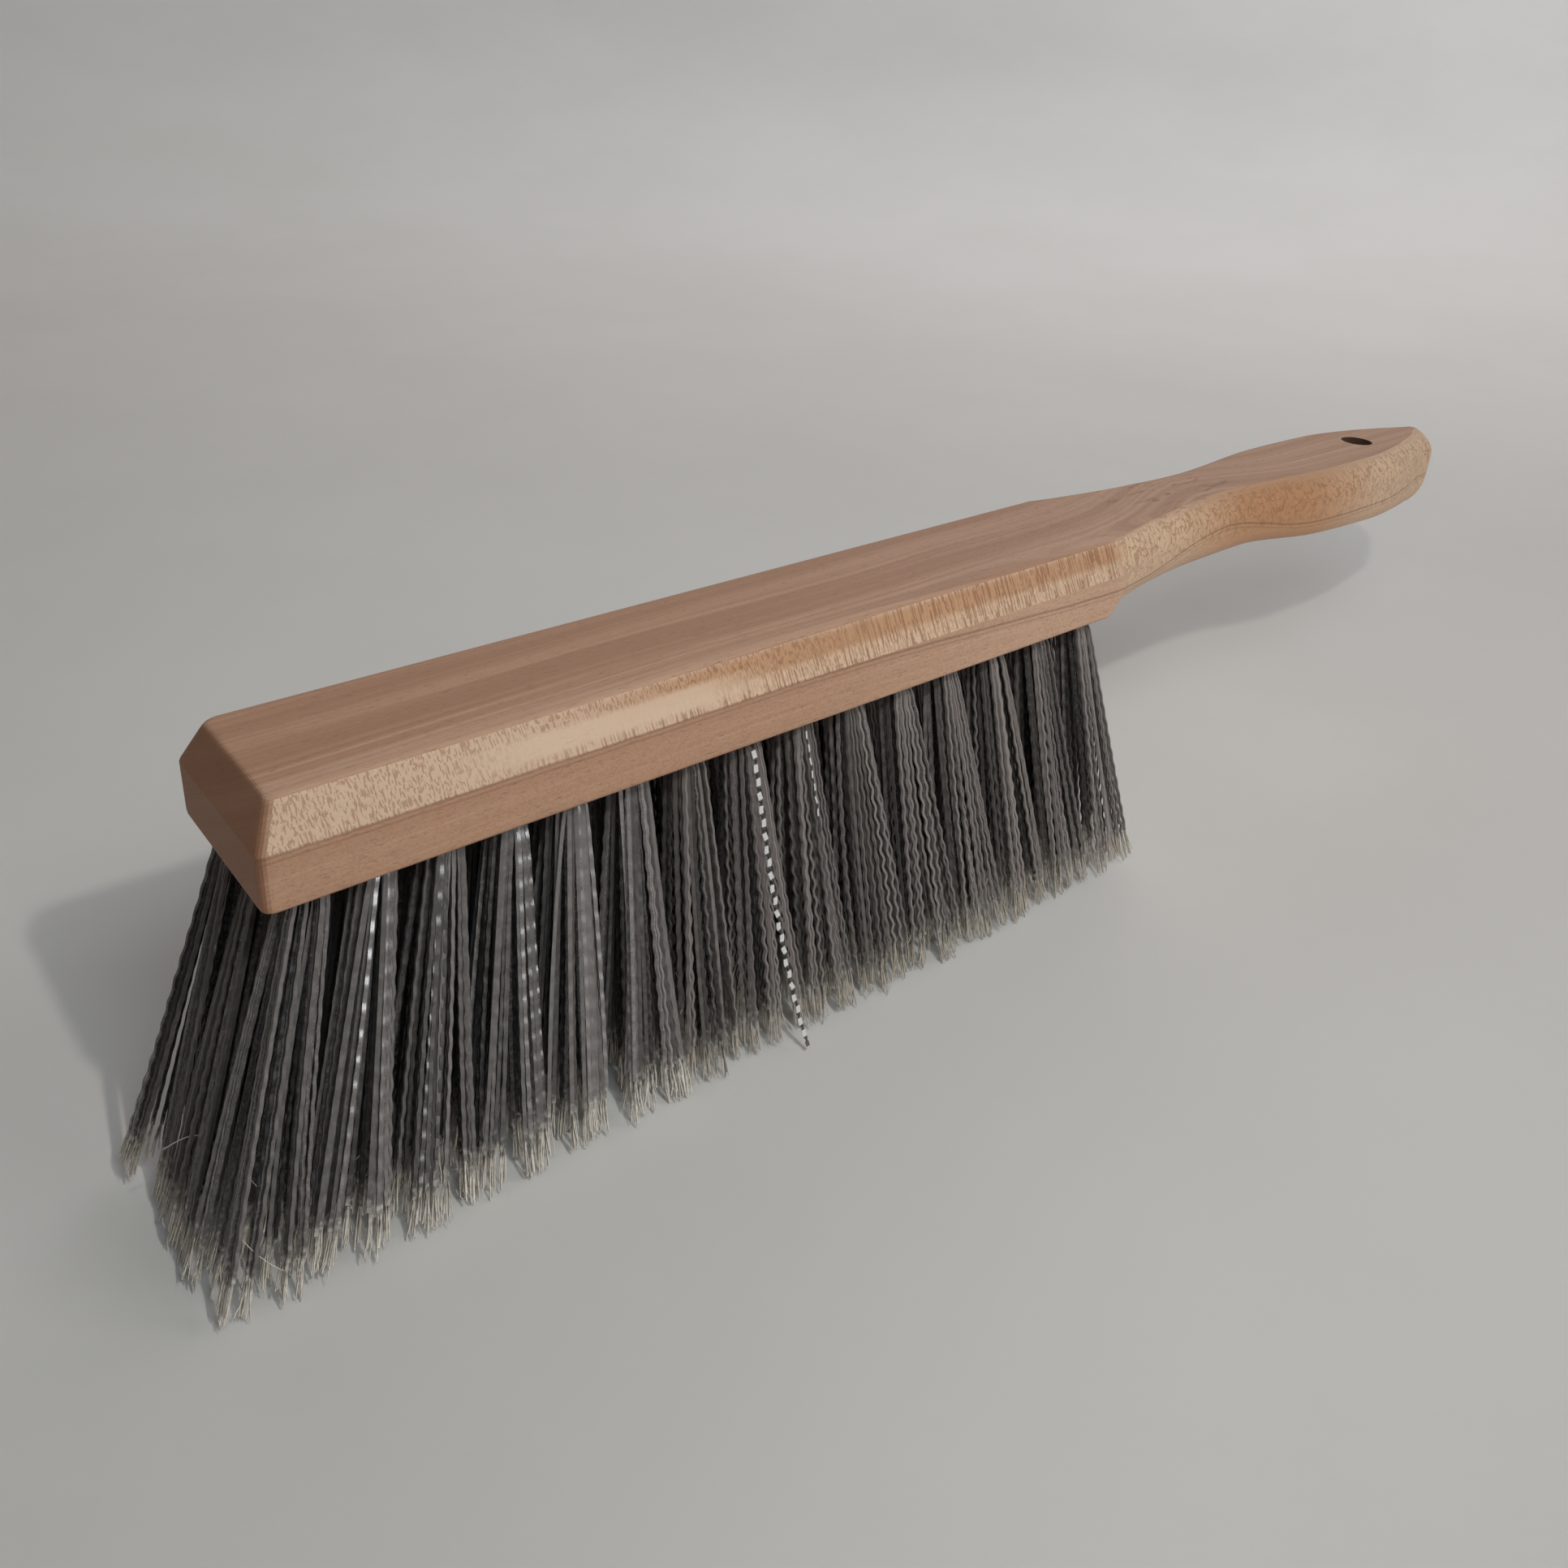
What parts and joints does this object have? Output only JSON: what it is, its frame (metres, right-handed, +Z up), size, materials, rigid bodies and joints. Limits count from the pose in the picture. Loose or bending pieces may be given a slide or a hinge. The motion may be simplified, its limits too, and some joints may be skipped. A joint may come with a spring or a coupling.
{
  "type": "bee brush",
  "caption": "Wooden hand brush for moving bees: bevelled block with shaped handle and hanging hole, rows of fanned crimped bristle tufts.",
  "frame": {"origin": "on the surface the brush stands on, under the middle of its length and width", "axes": "+X along the brush from the front of the head to the end of the handle, +Y across it, +Z up from the bristle tips to the back of the block"},
  "size_m": [0.3633, 0.0444, 0.0838],
  "materials": {
    "wood": "sanded, unvarnished",
    "bristle": "satin, crimped"
  },
  "bodies": {
    "root": {"block_and_handle": "wood", "tuft_left_01": "bristle", "tuft_left_02": "bristle", "tuft_left_03": "bristle", "tuft_left_04": "bristle", "tuft_left_05": "bristle", "tuft_left_06": "bristle", "tuft_left_07": "bristle", "tuft_left_08": "bristle", "tuft_left_09": "bristle", "tuft_left_10": "bristle", "tuft_left_11": "bristle", "tuft_left_12": "bristle", "tuft_left_13": "bristle", "tuft_left_14": "bristle", "tuft_left_15": "bristle", "tuft_middle_01": "bristle", "tuft_middle_02": "bristle", "tuft_middle_03": "bristle", "tuft_middle_04": "bristle", "tuft_middle_05": "bristle", "tuft_middle_06": "bristle", "tuft_middle_07": "bristle", "tuft_middle_08": "bristle", "tuft_middle_09": "bristle", "tuft_middle_10": "bristle", "tuft_middle_11": "bristle", "tuft_middle_12": "bristle", "tuft_middle_13": "bristle", "tuft_middle_14": "bristle", "tuft_middle_15": "bristle", "tuft_right_01": "bristle", "tuft_right_02": "bristle", "tuft_right_03": "bristle", "tuft_right_04": "bristle", "tuft_right_05": "bristle", "tuft_right_06": "bristle", "tuft_right_07": "bristle", "tuft_right_08": "bristle", "tuft_right_09": "bristle", "tuft_right_10": "bristle", "tuft_right_11": "bristle", "tuft_right_12": "bristle", "tuft_right_13": "bristle", "tuft_right_14": "bristle", "tuft_right_15": "bristle"}
  },
  "joints": []
}
